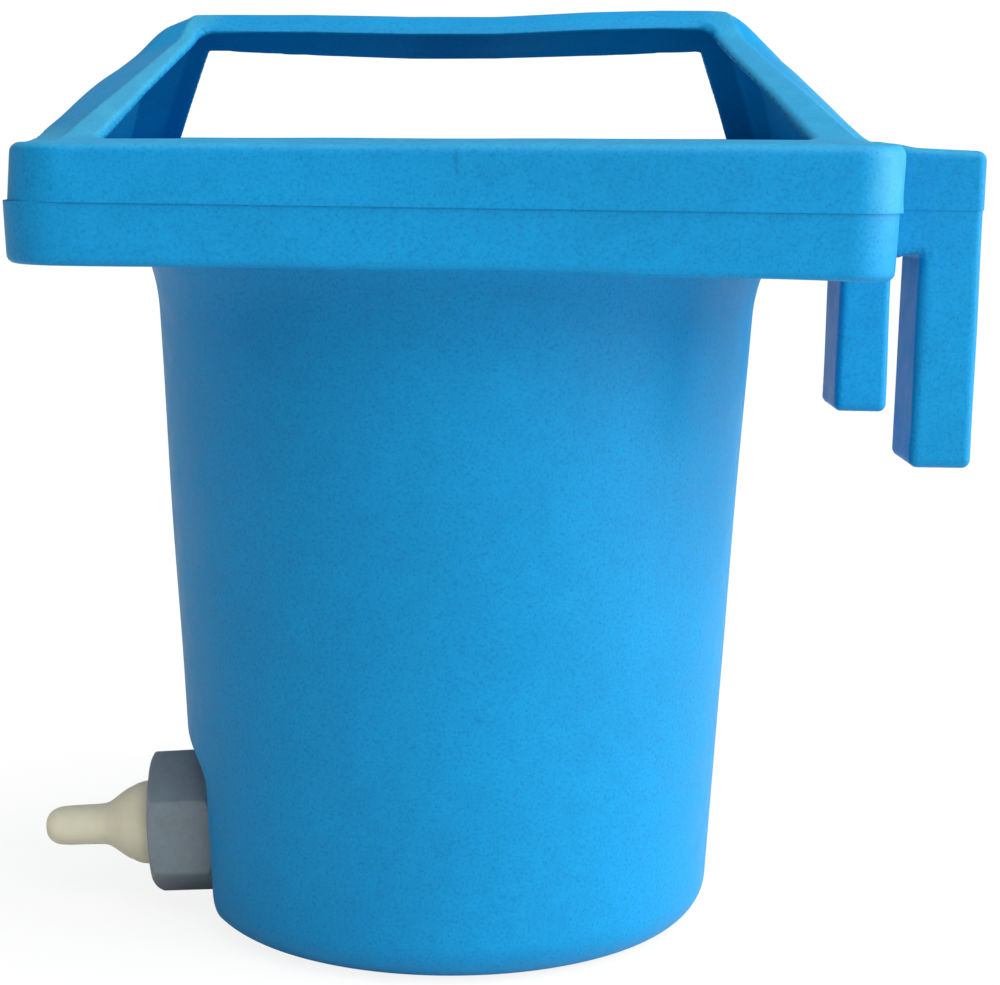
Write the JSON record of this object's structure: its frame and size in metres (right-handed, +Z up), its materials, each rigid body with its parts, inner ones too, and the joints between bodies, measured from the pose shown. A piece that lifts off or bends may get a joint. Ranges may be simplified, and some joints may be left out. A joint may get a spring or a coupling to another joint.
{
  "type": "teat feeder bucket",
  "caption": "Hook-over livestock feeder bucket with a square rim, bridge handle, rail hooks and a screwed teat unit with a ball valve.",
  "frame": {"origin": "centre of the flat base, on the plane it stands on", "axes": "+Z up through the mouth, +X towards the rail hooks, the teat points along -X, Y across"},
  "size_m": [0.4016, 0.3466, 0.408],
  "materials": {
    "bucket_plastic": "satin, finely mottled",
    "nut_plastic": "satin, lightly scuffed",
    "teat_rubber": "smooth, slightly translucent",
    "slip_plastic": "smooth",
    "spigot_plastic": "satin",
    "seal_rubber": "matt",
    "ball_plastic": "smooth",
    "cage_plastic": "satin"
  },
  "bodies": {
    "root": {"bucket_moulding": "bucket_plastic", "threaded_spigot": "spigot_plastic", "outer_seal": "seal_rubber", "inner_seal": "seal_rubber", "valve_cage": "cage_plastic"},
    "teat_head": {"teat": "teat_rubber", "slip_ring": "slip_plastic"},
    "nut": {"union_nut": "nut_plastic"},
    "ball": {"valve_ball": "ball_plastic"}
  },
  "joints": [
    {"name": "teat_head_slide", "type": "slide", "parent": "root", "child": "teat_head", "axis": [-0.999, 0, -0.0436], "range_m": [0, 0.015]},
    {"name": "nut_turn", "type": "hinge", "parent": "teat_head", "child": "nut", "pos_m": [-0.109, 0, 0.0393], "axis": [-0.999, 0, -0.0436], "range_deg": [0, 1800]},
    {"name": "ball_lift", "type": "slide", "parent": "root", "child": "ball", "axis": [-0.999, 0, -0.0436], "range_m": [0, 0.004]}
  ],
  "couplings": [
    {"joint": "teat_head_slide", "follows": "nut_turn", "m_per_rad": 0.000477}
  ]
}
